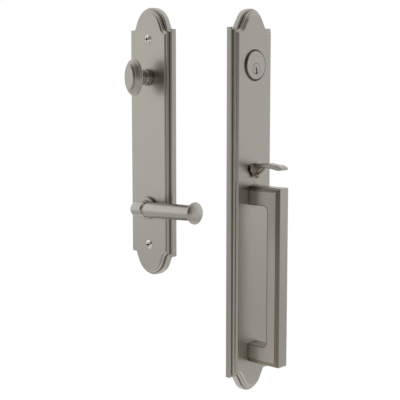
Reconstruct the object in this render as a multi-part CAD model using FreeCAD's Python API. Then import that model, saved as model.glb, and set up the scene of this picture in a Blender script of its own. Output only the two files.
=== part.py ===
import FreeCAD, Part
import math
import os

# An entry door handleset in satin nickel, as its two loose trims.
# The exterior trim has a tall arched plate with a key cylinder, a thumb latch and a pull grip.
# The interior trim has a shorter plate of the same moulding with a deadbolt turn and a lever.
# Each trim is drawn standing up, its back on the plane y = 0 and its face towards -Y.
# Depths are heights above the back, so a depth of 10 is the plane y = -10.
# The exterior trim then drops so that the origin is midway between its two posts, on the door face.
# The interior trim is turned to face -X and set to the left. All sizes are in millimetres.

Vector = FreeCAD.Vector

# Door preparation, shared by both trims
bolt_to_latch = 139.7
screw_beyond_axis = 40.0

# Plates and their moulding
exterior_width = 69.4
exterior_arch_rise = 21.7
exterior_ledge = 8.4
exterior_crown_share = 0.8
exterior_face_height = 2.4
cylinder_below_shoulder = 42.5
grip_above_shoulder = 15.8
interior_width = 62.0
interior_rise = 0.4
interior_shoulder = 240.5
interior_arch_rise = 22.9
interior_crown_share = 0.87
interior_face_height = 1.3
cove_radius = 2.2
rim_height = 6.8
rim_bevel = 0.9
middle_inset = 2.7
middle_height = 3.0
middle_bevel = 1.2
face_inset = 5.3
face_lip = 0.4
exterior_recess_inset = 9.5
recess_depth = 5.0

# General clearances
screw_clearance = 0.15
running_clearance = 0.05
loose_clearance = 0.3

# Key cylinder
head_radius = 16.0
head_rise = 0.5
head_gap = 0.35
trim_ring_radius = 18.2
trim_ring_top_radius = 16.9
trim_ring_height = 1.7
trim_ring_web = 0.5
housing_radius = 14.3
housing_tail = 14.0
plug_radius = 6.35
plug_drop = 4.0
plug_front = 0.1
keyway_rise = 1.95
keyway_drop = 5.6
keyway_width = 1.7
pin_radius = 1.4
pin_count = 5
pin_pitch = 4.0
first_pin_depth = 6.0
ring_nut_radius = 18.0
ring_nut_height = 3.5
tailpiece_width = 7.0
tailpiece_thickness = 2.0
tailpiece_reach = 25.0

# Thumb latch
thumb_above_latch = 23.7
press_angle = 12.0
tongue_half_width = 6.6
tongue_tip = 56.7
tongue_nose = 50.0
tongue_neck = 26.0
tongue_bevel = 0.7
dish_radius = 60.0
dish_depth = 0.7
shield_half_width = 9.7
shield_foot_half_width = 3.2
shield_top = 2.0
shield_drop = 12.6
shield_thickness = 4.1
shield_gap = 0.8
brace_radius = 9.0
curl_reach = 1.2
tang_half_width = 4.0
tang_drop = 4.0
tang_top = 2.5
tang_reach = 17.5
pivot_radius = 1.5
slide_near = 13.0
slide_thickness = 2.5
slide_half_width = 8.5
slide_top = 9.0
spring_space = 7.0
lift_wire = 0.7
lift_turns = 4
lift_coil_radius = 2.4
bracket_sheet = 1.5
bracket_half_width = 17.0
bracket_drop = 10.0
bracket_window_drop = 8.5
rail_thickness = 2.0

# Pull grip
grip_top_above_latch = 1.6
grip_height = 208.6
grip_post_height = 21.8
grip_front = 57.0
grip_bar_depth = 17.5
grip_front_half_width = 7.0
grip_side_half_width = 9.3
grip_border = 5.2
grip_inner_radius = 6.0
grip_screw_radius = 3.0
grip_screw_reach = 32.0
grip_screw_head_radius = 5.2
grip_screw_head_height = 3.2

# Posts and screws between the trims
post_radius = 4.8
post_stud_radius = 3.4
post_reach = 16.0
plate_screw_radius = 2.5
plate_screw_reach = 26.0
plate_screw_head_radius = 4.9
plate_screw_head_height = 1.7
small_screw_radius = 1.5
small_head_radius = 2.8
small_head_height = 1.8

# Deadbolt turn
turn_collar_radius = 8.45
turn_collar_height = 8.1
turn_neck_radius = 6.85
turn_stem_radius = 4.5
knob_back = 19.2
knob_half_width = 13.5
knob_half_height = 19.0
turn_spindle_width = 6.0
turn_spindle_thickness = 2.5
spindle_reach = 25.0

# Lever
lever_collar_radius = 11.8
lever_collar_height = 4.6
lever_hub_radius = 7.0
lever_axis_out = 16.3
barrel_radius = 8.0
barrel_end = 12.2
groove_radius = 6.6
shank_start = 15.4
shank_end = 81.6
shank_start_radius = 7.9
shank_end_radius = 8.2
flare_radius = 11.2
flare_rim = 83.8
rim_round = 2.0
dome_rise = 1.8
lever_rest_tilt = 2.3
spindle_size = 8.0
set_screw_radius = 2.5

# Lever return spring and its cage
cage_radius = 20.5
cage_wall = 1.5
cage_tail = 3.0
cage_gap = 1.0
cage_boss_radius = 2.6
cage_boss_inset = 3.9
cover_thickness = 1.2
driver_radius = 7.0
spring_wire = 0.8
spring_turns = 2
spring_gap = 0.7
spring_room = 0.3

# Where the interior trim stands, beside the exterior one
interior_x = -132.4
interior_y = 14.6
interior_z = -13.85

# Sizes and heights that follow from the ones above
exterior_depth = rim_height + middle_height + exterior_face_height
interior_depth = rim_height + middle_height + interior_face_height
interior_ledge = (middle_inset + middle_bevel + face_inset) / 2
interior_recess_inset = interior_width / 2 - cage_radius - cage_gap
cage_screw_offset = cage_radius - cage_boss_inset
spring_inner = driver_radius + spring_gap
spring_outer = cage_screw_offset - cage_boss_radius - spring_room
spring_pitch = (spring_outer - spring_inner - spring_wire) / spring_turns
shield_front = exterior_depth + shield_gap + shield_thickness
grip_below_bolt = bolt_to_latch - grip_top_above_latch + grip_height
exterior_shoulder = cylinder_below_shoulder + grip_below_bolt + grip_above_shoulder
exterior_bolt_height = exterior_shoulder / 2 - cylinder_below_shoulder
exterior_latch_height = exterior_bolt_height - bolt_to_latch
plug_height = exterior_bolt_height - plug_drop
thumb_height = exterior_latch_height + thumb_above_latch
grip_top = exterior_latch_height + grip_top_above_latch
grip_bottom = grip_top - grip_height
turn_height = bolt_to_latch / 2 + interior_rise
lever_height = turn_height - bolt_to_latch
exterior_screw_heights = (
    exterior_bolt_height + screw_beyond_axis,
    exterior_latch_height - screw_beyond_axis,
)
origin_height = exterior_bolt_height - bolt_to_latch / 2
interior_screw_heights = (
    turn_height + screw_beyond_axis,
    lever_height - screw_beyond_axis,
)


# Simple solids that stand out from the back plane

def round_bar(radius, start, end, x=0.0, z=0.0):
    """A cylinder square to the plate, between two depths."""
    return Part.makeCylinder(radius, end - start, Vector(x, -start, z), Vector(0, -1, 0))


def taper_bar(start_radius, end_radius, start, end, x=0.0, z=0.0):
    """A cone square to the plate, between two depths."""
    base = Vector(x, -start, z)
    return Part.makeCone(start_radius, end_radius, end - start, base, Vector(0, -1, 0))


def ring(outer, inner, start, end, x=0.0, z=0.0):
    """A flat ring square to the plate."""
    return round_bar(outer, start, end, x, z).cut(round_bar(inner, start - 1, end + 1, x, z))


def block(x0, x1, start, end, z0, z1):
    """A box between two sideways places, two depths and two heights."""
    return Part.makeBox(x1 - x0, end - start, z1 - z0, Vector(x0, -end, z0))


def cross_bar(radius, half_length, depth, z):
    """A cylinder along X at a depth and a height."""
    return Part.makeCylinder(radius, 2 * half_length, Vector(-half_length, -depth, z), Vector(1, 0, 0))


def raise_wire(wire, start, end):
    """The solid that a flat outline in the plane y = 0 sweeps between two depths."""
    face = Part.Face(wire)
    solid = face.extrude(Vector(0, -(end - start), 0))
    solid.translate(Vector(0, -start, 0))
    return solid


def slice_side(points, half_width):
    """A slab of even width whose side view, in depth and height, is given by its corners."""
    corners = [Vector(-half_width, -depth, z) for depth, z in points]
    wire = Part.makePolygon(corners + [corners[0]])
    return Part.Face(wire).extrude(Vector(2 * half_width, 0, 0))


def oval_wire(half_x, half_z, z=0.0):
    """An upright oval outline in the plane y = 0."""
    long_axis = Vector(0, 0, half_z)
    short_axis = Vector(half_x, 0, 0)
    centre = Vector(0, 0, z)
    ellipse = Part.Ellipse(centre + long_axis, centre + short_axis, centre)
    return Part.Wire([ellipse.toShape()])


def edges_at_depth(solid, depth):
    """The edges that lie wholly in one plane parallel to the back."""
    found = []
    for edge in solid.Edges:
        box = edge.BoundBox
        if abs(box.YMin + depth) < 1e-6 and abs(box.YMax + depth) < 1e-6:
            found.append(edge)
    return found


def join(first, *others):
    """One clean solid from pieces that overlap or touch."""
    return first.fuse(list(others)).removeSplitter()


def save(node, shape):
    """Write one sub-part to its own file."""
    shape.exportStep("parts/" + node + ".step")


# The arched, stepped plates

def on_circle(x, z, radius, angle):
    """A place on a circle, as a sideways place and a height."""
    return (x + radius * math.cos(angle), z + radius * math.sin(angle))


def plate_outline(width, shoulder, arch_rise, ledge, crown_share, inset=0.0):
    """The plate's outline: square shoulders and a bell arch, crown, flanks and coves, at each end."""
    half = width / 2
    shoulder_z = shoulder / 2
    cove_x = half - ledge
    cove_z = shoulder_z + cove_radius
    crown_radius = crown_share * cove_x
    crown_z = shoulder_z + arch_rise - crown_radius
    reach = math.hypot(cove_x, cove_z - crown_z)
    lean = math.atan2(cove_z - crown_z, cove_x) + math.acos((crown_radius + cove_radius) / reach)

    corner_x = half - inset
    radius = cove_radius + inset
    foot_angle = 1.5 * math.pi
    if corner_x < cove_x:
        foot_angle = 2 * math.pi - math.acos(-(cove_x - corner_x) / radius)
    flank_angle = math.pi + lean
    foot = on_circle(cove_x, cove_z, radius, foot_angle)
    bend = on_circle(cove_x, cove_z, radius, (foot_angle + flank_angle) / 2)
    flank_low = on_circle(cove_x, cove_z, radius, flank_angle)
    flank_high = on_circle(0, crown_z, crown_radius - inset, lean)
    apex = (0, crown_z + crown_radius - inset)

    edges = []
    corner = (corner_x, foot[1])
    for end in (1, -1):
        for side in (1, -1):
            def place(point):
                return Vector(side * point[0], 0, end * point[1])
            if corner_x > cove_x:
                edges.append(Part.makeLine(place(corner), place(foot)))
            edges.append(Part.Arc(place(foot), place(bend), place(flank_low)).toShape())
            edges.append(Part.makeLine(place(flank_low), place(flank_high)))
        crown = [Vector(side * flank_high[0], 0, end * flank_high[1]) for side in (-1, 1)]
        edges.append(Part.Arc(crown[0], Vector(apex[0], 0, end * apex[1]), crown[1]).toShape())
    for side in (1, -1):
        edges.append(Part.makeLine(Vector(side * corner_x, 0, corner[1]), Vector(side * corner_x, 0, -corner[1])))
    return Part.Wire(Part.__sortEdges__(edges))


def moulded_plate(width, shoulder, arch_rise, ledge, crown_share, recess_inset, depth):
    """A cast plate: bevelled rim, two bevelled steps, flat face, and a recess in the back."""
    def outline(inset):
        return plate_outline(width, shoulder, arch_rise, ledge, crown_share, inset)

    middle_top = rim_height + middle_height
    rim = raise_wire(outline(0), 0, rim_height)
    rim = rim.makeChamfer(rim_bevel, edges_at_depth(rim, rim_height))
    middle = raise_wire(outline(middle_inset), 0, middle_top)
    middle = middle.makeChamfer(middle_bevel, edges_at_depth(middle, middle_top))
    face = raise_wire(outline(face_inset), 0, depth)
    face = face.makeChamfer(depth - middle_top - face_lip, edges_at_depth(face, depth))
    recess = raise_wire(outline(recess_inset), -1, recess_depth)
    return join(rim, middle, face).cut(recess)


def blind_holes(radius, places, start, end):
    """Round holes between two depths, one at each place."""
    return [round_bar(radius, start, end, x, z) for x, z in places]


def exterior_plate():
    """The long plate, drilled for the cylinder, the thumb latch, the grip and the posts."""
    depth = exterior_depth
    slot_low = -tang_drop * math.cos(math.radians(press_angle))
    slot_low = slot_low - depth * math.sin(math.radians(press_angle)) - loose_clearance
    cuts = [round_bar(housing_radius + screw_clearance, -1, depth + 1, 0, exterior_bolt_height)]
    cuts.append(block(-tang_half_width - 0.5, tang_half_width + 0.5, -1, depth + 1,
                      thumb_height + slot_low, thumb_height + tang_top + 0.6))
    for z in grip_screw_heights():
        cuts.append(round_bar(grip_screw_radius + 0.2, -1, depth + 1, 0, z))
    for z in exterior_screw_heights:
        cuts.append(round_bar(post_stud_radius + screw_clearance, -1, depth - 1.2, 0, z))
    cuts.extend(blind_holes(small_screw_radius + screw_clearance, bracket_screw_places(), -1, depth - 2))
    plate = moulded_plate(exterior_width, exterior_shoulder, exterior_arch_rise,
                          exterior_ledge, exterior_crown_share, exterior_recess_inset, depth)
    return plate.cut(cuts)


def interior_plate():
    """The short plate, drilled for the turn, the lever, the spring cage and the two screws."""
    depth = interior_depth
    cuts = [round_bar(turn_sleeve_radius() + screw_clearance, -1, depth + 1, 0, turn_height)]
    cuts.append(round_bar(lever_sleeve_radius() + screw_clearance, -1, depth + 1, 0, lever_height))
    sink = plate_screw_head_radius - plate_screw_radius
    for z in interior_screw_heights:
        cuts.append(round_bar(plate_screw_radius + screw_clearance, -1, depth + 1, 0, z))
        cuts.append(taper_bar(plate_screw_radius + screw_clearance,
                              plate_screw_head_radius + screw_clearance, depth - sink, depth, 0, z))
    cuts.extend(blind_holes(small_screw_radius + screw_clearance, cage_screw_places(), -1, depth - 1.5))
    plate = moulded_plate(interior_width, interior_shoulder, interior_arch_rise,
                          interior_ledge, interior_crown_share, interior_recess_inset, depth)
    return plate.cut(cuts)


# Key cylinder

def cylinder_front():
    """Depth of the cylinder's flat front."""
    return exterior_depth + trim_ring_height + head_rise


def pin_depths():
    """Depths of the pin chambers, counted back from the front."""
    return [cylinder_front() - first_pin_depth - pin_pitch * n for n in range(pin_count)]


def chamber(depth, low, high):
    """One upright pin chamber."""
    radius = pin_radius + 0.1
    return Part.makeCylinder(radius, high - low, Vector(0, -depth, low), Vector(0, 0, 1))


def cylinder_trim_ring():
    """Coned ring round the head, with a seat that the head clamps to the plate."""
    z = exterior_bolt_height
    low = exterior_depth
    cone = taper_bar(trim_ring_radius, trim_ring_top_radius, low, low + trim_ring_height, 0, z)
    pocket = round_bar(head_radius + head_gap, low + trim_ring_web, low + trim_ring_height + 1, 0, z)
    bore = round_bar(housing_radius + screw_clearance, low - 1, low + trim_ring_height + 1, 0, z)
    return cone.cut([pocket, bore])


def cylinder_housing():
    """Turned brass body: a broad head, an off-centre plug bore and a row of pin chambers."""
    front = cylinder_front()
    z = exterior_bolt_height
    head = round_bar(head_radius, exterior_depth + trim_ring_web, front, 0, z)
    head = head.makeChamfer(0.4, edges_at_depth(head, front))
    body = round_bar(housing_radius, -housing_tail, front - 1, 0, z)
    bore = round_bar(plug_radius + running_clearance, -housing_tail - 1, front + 1, 0, plug_height)
    chamber_top = z + housing_radius - 1.8
    chambers = [chamber(depth, plug_height, chamber_top) for depth in pin_depths()]
    return join(head, body).cut([bore] + chambers)


def key_plug():
    """The plug: a keyway with one jog, chambers above it, and slots for clip and tailpiece."""
    front = cylinder_front() + plug_front
    tail = housing_tail + 1.4
    plug = round_bar(plug_radius, -tail, front, 0, plug_height)
    plug = plug.makeChamfer(0.4, edges_at_depth(plug, front))
    half = keyway_width / 2
    key_end = 1.0 - housing_tail
    top = plug_height + keyway_rise
    bottom = plug_height - keyway_drop
    upper = block(-half - 0.5, half - 0.5, key_end, front + 1, plug_height - 1.2, top)
    lower = block(-half + 0.5, half + 0.5, key_end, front + 1, bottom, plug_height - 0.4)
    foot = block(-half - 0.6, half + 0.6, key_end, front + 1, bottom, bottom + 1.6)
    chambers = [chamber(depth, top - 0.5, plug_height + plug_radius + 1) for depth in pin_depths()]
    groove = ring(plug_radius + 1, plug_radius - 0.7, -housing_tail - 1.0, -housing_tail - 0.2, 0, plug_height)
    slot_half = tailpiece_width / 2 + 0.1
    slot = block(-slot_half, slot_half, -tail - 1, -housing_tail + 1.2,
                 plug_height - tailpiece_thickness / 2 - 0.1, plug_height + tailpiece_thickness / 2 + 0.1)
    return plug.cut([upper, lower, foot, groove, slot] + chambers)


def upright_pins(low, high):
    """The row of round pins between two heights, as separate solids."""
    pins = [Part.makeCylinder(pin_radius, high - low, Vector(0, -depth, low), Vector(0, 0, 1))
            for depth in pin_depths()]
    return Part.makeCompound(pins)


def pin_height(step):
    """Heights where key pins, driver pins and springs meet, from the keyway up."""
    top = exterior_bolt_height + housing_radius - 1.9
    split = plug_height + plug_radius + 0.25
    heights = (plug_height + keyway_rise + 0.5, plug_height + plug_radius - 0.15, split, split + 4.5, top)
    return heights[step]


def pin_springs():
    """Plain cylinders in place of the five fine coil springs over the driver pins."""
    return upright_pins(pin_height(3) + 0.05, pin_height(4))


def split_ring(outer, inner, start, end, z, gap):
    """A flat retaining ring with a gap on its upper side."""
    hoop = ring(outer, inner, start, end, 0, z)
    return hoop.cut(block(-gap / 2, gap / 2, start - 1, end + 1, z, z + outer + 1))


def cylinder_ring_nut():
    """Ring nut that clamps the housing to the plate from behind, with two spanner notches."""
    z = exterior_bolt_height
    start = recess_depth - ring_nut_height
    nut = ring(ring_nut_radius, housing_radius + screw_clearance, start, recess_depth, 0, z)
    notches = [block(side * ring_nut_radius - 1.5, side * ring_nut_radius + 1.5,
                     start - 1, start + 2, z - 2, z + 2) for side in (-1, 1)]
    return nut.cut(notches)


def cylinder_tailpiece():
    """Flat blade that the plug turns, reaching back into the door."""
    half = tailpiece_width / 2
    thick = tailpiece_thickness / 2
    return block(-half, half, -tailpiece_reach, -housing_tail + 1.0, plug_height - thick, plug_height + thick)


# Thumb latch

def thumb_tongue():
    """The tongue under the thumb: thin by the plate, thick at the nose, cut square at its tip."""
    root = exterior_depth + shield_gap
    middle = (tongue_neck + tongue_nose) / 2
    brow = tongue_nose + 0.63 * (tongue_tip - tongue_nose)

    def at(depth, rise):
        return Vector(-tongue_half_width, -depth, thumb_height + rise)

    edges = [
        Part.Arc(at(root, 1.4), at(middle, 3.2), at(tongue_nose, 3.6)).toShape(),
        Part.Arc(at(tongue_nose, 3.6), at(brow, 2.6), at(tongue_tip, 1.0)).toShape(),
        Part.makeLine(at(tongue_tip, 1.0), at(tongue_tip, -2.0)),
        Part.makeLine(at(tongue_tip, -2.0), at(tongue_nose + 1.5, -2.5)),
        Part.Arc(at(tongue_nose + 1.5, -2.5), at(middle + 4, -1.0), at(tongue_neck, -0.9)).toShape(),
        Part.makeLine(at(tongue_neck, -0.9), at(root, -2.0)),
        Part.makeLine(at(root, -2.0), at(root, 1.4)),
    ]
    tongue = Part.Face(Part.Wire(edges)).extrude(Vector(2 * tongue_half_width, 0, 0))
    top_edges = [edge for edge in tongue.Edges
                 if edge.BoundBox.XLength < 1e-6 and edge.BoundBox.ZMin > thumb_height + 0.9]
    tongue = tongue.makeChamfer(tongue_bevel, top_edges)
    dish = Part.makeSphere(dish_radius, Vector(0, -middle - 4, thumb_height + 3.5 + dish_radius - dish_depth))
    return tongue.cut(dish)


def thumb_shield():
    """The drop that hides the slot: wide above, narrow at its foot, bevelled round the front."""
    wide = shield_half_width
    narrow = shield_foot_half_width
    top = thumb_height + shield_top
    waist = thumb_height - 5.0
    foot = thumb_height - shield_drop
    swell = Vector((wide + narrow) / 2 + 0.2, 0, (waist + foot) / 2 + 0.6)
    edges = [
        Part.makeLine(Vector(-wide, 0, top), Vector(wide, 0, top)),
        Part.makeLine(Vector(wide, 0, top), Vector(wide, 0, waist)),
        Part.Arc(Vector(wide, 0, waist), swell, Vector(narrow, 0, foot)).toShape(),
        Part.makeLine(Vector(narrow, 0, foot), Vector(-narrow, 0, foot)),
        Part.Arc(Vector(-narrow, 0, foot), Vector(-swell.x, 0, swell.z), Vector(-wide, 0, waist)).toShape(),
        Part.makeLine(Vector(-wide, 0, waist), Vector(-wide, 0, top)),
    ]
    rear = exterior_depth + shield_gap
    shield = raise_wire(Part.Wire(edges), rear, shield_front)
    shield = shield.makeChamfer(1.8, edges_at_depth(shield, shield_front))
    slope = math.tan(math.radians(press_angle + 1.5))
    deep = shield_drop + 2
    wedge = slice_side([(rear - 1, thumb_height), (rear, thumb_height),
                        (rear + deep * slope, thumb_height - deep), (rear - 1, thumb_height - deep)], wide + 1)
    return shield.cut(wedge)


def thumb_brace():
    """The curved bracket under the tongue and the small forward curl at the foot."""
    under = thumb_height - 1.2
    foot = thumb_height - shield_drop
    corner = shield_front - 0.8
    half = tongue_half_width - 0.9
    web = block(-half, half, corner - 1.2, corner + brace_radius, under - brace_radius, under + 0.6)
    web = web.cut(cross_bar(brace_radius, 3 * half, corner + brace_radius, under - brace_radius))
    narrow = shield_foot_half_width
    curl = block(-narrow, narrow, shield_front - 0.9, shield_front + curl_reach, foot - 0.8, foot + 2.6)
    hollow = cross_bar(1.8, 3 * half, shield_front + curl_reach, foot + 2.6)
    return web, curl.cut(hollow)


def thumbpiece():
    """Cast thumb lever: tongue, shield and brace outside, tang and pivot bore inside."""
    tang = slice_side([(shield_front - 2, thumb_height + tang_top - 1.2), (0, thumb_height + tang_top),
                       (-tang_reach, thumb_height + tang_top), (-tang_reach, thumb_height - 1.5),
                       (-tang_reach + 9, thumb_height - tang_drop),
                       (shield_front - 2, thumb_height - tang_drop)], tang_half_width)
    tang = tang.cut(cross_bar(pivot_radius + running_clearance, 3 * tang_half_width, 0, thumb_height))
    web, curl = thumb_brace()
    return join(tang, thumb_shield(), thumb_tongue(), web, curl)


def bracket_screw_places():
    """Two screws above and two below the pivot, clear of the thumb slot."""
    return [(side * 13.0, thumb_height + rise) for side in (-1, 1) for rise in (12.0, -6.0)]


def thumbpiece_bracket():
    """Folded steel bracket: flange on the plate, ears for the pin, rails and a spring shelf."""
    z = thumb_height
    near = recess_depth - bracket_sheet
    far = slide_near + slide_thickness + 1.5
    shelf_low = z + slide_top + spring_space
    wide = bracket_half_width
    flange = block(-wide, wide, near, recess_depth, z - bracket_drop, shelf_low + bracket_sheet)
    window = block(-tang_half_width - 1, tang_half_width + 1, near - 1, recess_depth + 1,
                   z - bracket_window_drop, z + 4.5)
    shelf = block(-5, 5, -far, near + 0.5, shelf_low, shelf_low + bracket_sheet)
    pieces = [shelf]
    for side in (-1, 1):
        ear_middle = side * (tang_half_width + loose_clearance + 1)
        pieces.append(block(ear_middle - 1, ear_middle + 1, -3.5, near + 0.5, z - 4, z + 4))
        rail_middle = side * (slide_half_width + 0.2 + rail_thickness / 2)
        pieces.append(block(rail_middle - rail_thickness / 2, rail_middle + rail_thickness / 2,
                            -far, near + 0.5, z - 2, z + slide_top))
    holes = blind_holes(small_screw_radius + screw_clearance, bracket_screw_places(), near - 1, recess_depth + 1)
    holes.append(cross_bar(pivot_radius + 0.02, wide, 0, z))
    return join(flange.cut(window), *pieces).cut(holes)


def thumbpiece_pin():
    """Plain steel pivot pin through ears and tang."""
    return cross_bar(pivot_radius, tang_half_width + loose_clearance + 2, 0, thumb_height)


def lift_slide():
    """Stamped slide that the tang lifts, forked at its foot to work the latch."""
    z = thumb_height
    low = exterior_latch_height - 3.0
    plate = block(-slide_half_width, slide_half_width, -slide_near - slide_thickness, -slide_near, low, z + slide_top)
    window = block(-tang_half_width - 0.4, tang_half_width + 0.4, -slide_near - slide_thickness - 1,
                   -slide_near + 1, z - 9, z + tang_top + loose_clearance)
    fork = block(-3.5, 3.5, -slide_near - slide_thickness - 1, -slide_near + 1, low - 1, exterior_latch_height + 5)
    return plate.cut([window, fork])


def lift_slide_spring():
    """Coil spring between the slide and the bracket's shelf, drawn with square wire."""
    half = lift_wire / 2
    height = spring_space - lift_wire - 2 * running_clearance
    helix = Part.makeHelix(height / lift_turns, height, lift_coil_radius)
    corners = [Vector(lift_coil_radius + x, 0, z) for x, z in ((-half, -half), (half, -half), (half, half), (-half, half))]
    section = Part.makePolygon(corners + [corners[0]])
    coil = Part.Wire(helix.Edges).makePipeShell([section], True, True)
    coil.translate(Vector(0, slide_near + slide_thickness / 2, thumb_height + slide_top + running_clearance + half))
    return coil


# Pull grip

def grip_screw_heights():
    """Middle heights of the two grip posts."""
    return (grip_top - grip_post_height / 2, grip_bottom + grip_post_height / 2)


def grip_layer(inset, half_width):
    """The grip's D-shaped side view, drawn in from its outer edges, at a given width."""
    low = grip_bottom + inset
    high = grip_top - inset
    outer = block(-half_width, half_width, exterior_depth, grip_front - inset, low, high)
    opening = block(-half_width - 1, half_width + 1, exterior_depth - 1, grip_front - grip_bar_depth,
                    grip_bottom + grip_post_height, grip_top - grip_post_height)
    corners = [edge for edge in opening.Edges
               if edge.BoundBox.XLength > 1 and edge.BoundBox.YMin < -exterior_depth - 1]
    opening = opening.makeFillet(grip_inner_radius, corners)
    return outer.cut(opening)


def pull_grip():
    """Cast D-grip: a square bar with a stepped border round the outer edge of each side."""
    step = (grip_side_half_width - grip_front_half_width) / 2
    core = grip_layer(0, grip_front_half_width)
    upright = [edge for edge in core.Edges if edge.BoundBox.XLength > 1 and edge.BoundBox.YMax < -grip_front + 0.1]
    core = core.makeFillet(1.2, upright)
    middle = grip_layer(grip_border / 2, grip_front_half_width + step)
    panel = grip_layer(grip_border, grip_side_half_width)
    holes = [round_bar(grip_screw_radius, exterior_depth - 1, grip_screw_reach + 1, 0, z)
             for z in grip_screw_heights()]
    return join(core, middle, panel).cut(holes)


def pan_screw(radius, head_radius, head_height, head_start, tip, x, z):
    """A pan-head screw driven from behind, head towards the door."""
    head = round_bar(head_radius, head_start - head_height, head_start, x, z)
    head = head.makeChamfer(head_height * 0.35, edges_at_depth(head, head_start - head_height))
    drive = block(x - 0.5, x + 0.5, head_start - head_height - 1, head_start - head_height + 0.9,
                  z - head_radius * 0.55, z + head_radius * 0.55)
    across = block(x - head_radius * 0.55, x + head_radius * 0.55, head_start - head_height - 1,
                   head_start - head_height + 0.9, z - 0.5, z + 0.5)
    shank = round_bar(radius, head_start - 0.5, tip, x, z)
    return join(head, shank).cut([drive, across])


def grip_screws():
    """The two screws that hold the grip through the plate."""
    return Part.makeCompound([
        pan_screw(grip_screw_radius - 0.05, grip_screw_head_radius, grip_screw_head_height,
                  recess_depth, grip_screw_reach, 0, z)
        for z in grip_screw_heights()])


def bracket_screws():
    """The four small screws of the thumb latch bracket."""
    seat = recess_depth - bracket_sheet
    return Part.makeCompound([
        pan_screw(small_screw_radius, small_head_radius, small_head_height, seat, exterior_depth - 2.5, x, z)
        for x, z in bracket_screw_places()])


def mounting_posts():
    """Two tapped posts on the exterior plate that the long screws reach."""
    posts = []
    for z in exterior_screw_heights:
        body = round_bar(post_radius, -post_reach, recess_depth, 0, z)
        stud = round_bar(post_stud_radius, recess_depth - 1, exterior_depth - 1.5, 0, z)
        bore = round_bar(plate_screw_radius + 0.1, -post_reach - 1, recess_depth - 2, 0, z)
        posts.append(join(body, stud).cut(bore))
    return Part.makeCompound(posts)


def plate_screws():
    """Two oval-head cross-recess screws through the interior plate."""
    screws = []
    depth = interior_depth
    sink = plate_screw_head_radius - plate_screw_radius
    crown_radius = (plate_screw_head_radius ** 2 + plate_screw_head_height ** 2) / (2 * plate_screw_head_height)
    for z in interior_screw_heights:
        crown = Part.makeSphere(crown_radius, Vector(0, -(depth + plate_screw_head_height - crown_radius), z))
        crown = crown.common(round_bar(plate_screw_head_radius, depth, depth + 3, 0, z))
        seat = taper_bar(plate_screw_radius, plate_screw_head_radius, depth - sink, depth, 0, z)
        shank = round_bar(plate_screw_radius, -plate_screw_reach, depth - sink + 0.1, 0, z)
        arms = [block(-0.65, 0.65, depth - 0.9, depth + 3, z - 2.7, z + 2.7),
                block(-2.7, 2.7, depth - 0.9, depth + 3, z - 0.65, z + 0.65),
                taper_bar(0.5, 1.5, depth - 1.8, depth + 3, 0, z)]
        screws.append(join(crown, seat, shank).cut(arms))
    return Part.makeCompound(screws)


# Deadbolt turn

def turn_sleeve_radius():
    """Outer radius of the turn collar where it passes through the plate."""
    return turn_stem_radius + 2.0


def turn_collar():
    """Turned bush that carries the turn's stem."""
    depth = interior_depth
    top = depth + turn_collar_height
    collar = round_bar(turn_collar_radius, depth, top, 0, turn_height)
    collar = collar.makeChamfer(0.8, edges_at_depth(collar, top))
    waist = ring(turn_collar_radius + 1, turn_collar_radius - 0.5, top - 2.2, top - 1.6, 0, turn_height)
    sleeve = round_bar(turn_sleeve_radius(), recess_depth, depth + 1, 0, turn_height)
    bore = round_bar(turn_stem_radius + running_clearance, recess_depth - 1, top + 1, 0, turn_height)
    return join(collar.cut(waist), sleeve).cut(bore)


def oval_slope(half_x, half_z, shrink, start, end):
    """A band of the knob whose oval outline shrinks by an even amount between two depths."""
    outlines = [oval_wire(half_x, half_z, turn_height), oval_wire(half_x - shrink, half_z - shrink, turn_height)]
    for outline, depth in zip(outlines, (start, end)):
        outline.translate(Vector(0, -depth, 0))
    return Part.makeLoft(outlines, True, True)


def oval_step(half_x, half_z, start, end, bevel):
    """One step of the knob's face, with a bevelled front edge."""
    straight = raise_wire(oval_wire(half_x, half_z, turn_height), start, end - bevel)
    return straight.fuse(oval_slope(half_x, half_z, bevel, end - bevel, end))


def thumbturn_knob():
    """Oval turn: neck with a bulge, rim, sloped cove, bead and a low boss, and a slotted stem."""
    depth = interior_depth
    z = turn_height
    back = depth + knob_back
    wide = knob_half_width
    tall = knob_half_height
    under = oval_slope(wide - 0.9, tall - 0.9, -0.9, back, back + 0.9)
    rim = oval_step(wide, tall, back + 0.9, back + 3.0, 1.0)
    cove = oval_slope(wide - 1.8, tall - 1.8, 3.2, back + 3.0, back + 6.0)
    bead = oval_step(wide - 5.0, tall - 4.6, back + 5.0, back + 7.0, 0.4)
    boss = oval_step(wide - 6.4, tall - 6.0, back + 6.5, back + 8.6, 0.8)
    collar_top = depth + turn_collar_height + loose_clearance
    neck = round_bar(turn_neck_radius, collar_top, back + 1, 0, z)
    bulge = round_bar(turn_neck_radius + 0.7, collar_top, collar_top + 3.4, 0, z)
    bulge = bulge.makeChamfer(0.6, edges_at_depth(bulge, collar_top + 3.4))
    stem = round_bar(turn_stem_radius, recess_depth - 2.0, collar_top + 1, 0, z)
    groove = ring(turn_stem_radius + 1, turn_stem_radius - 0.7, recess_depth - 1.4, recess_depth - 0.6, 0, z)
    half_slot = turn_spindle_width / 2 + 0.1
    socket = block(-turn_spindle_thickness / 2 - 0.1, turn_spindle_thickness / 2 + 0.1,
                   recess_depth - 3, depth + 5.2, z - half_slot, z + half_slot)
    return join(under, rim, cove, bead, boss, neck, bulge, stem).cut([groove, socket])


def turn_spindle():
    """Flat drive bar from the turn to the bolt."""
    thick = turn_spindle_thickness / 2
    half = turn_spindle_width / 2
    return block(-thick, thick, -spindle_reach, interior_depth + 5.0, turn_height - half, turn_height + half)


# Lever

def lever_sleeve_radius():
    """Outer radius of the lever collar where it passes through the plate."""
    return lever_hub_radius + 2.0


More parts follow.
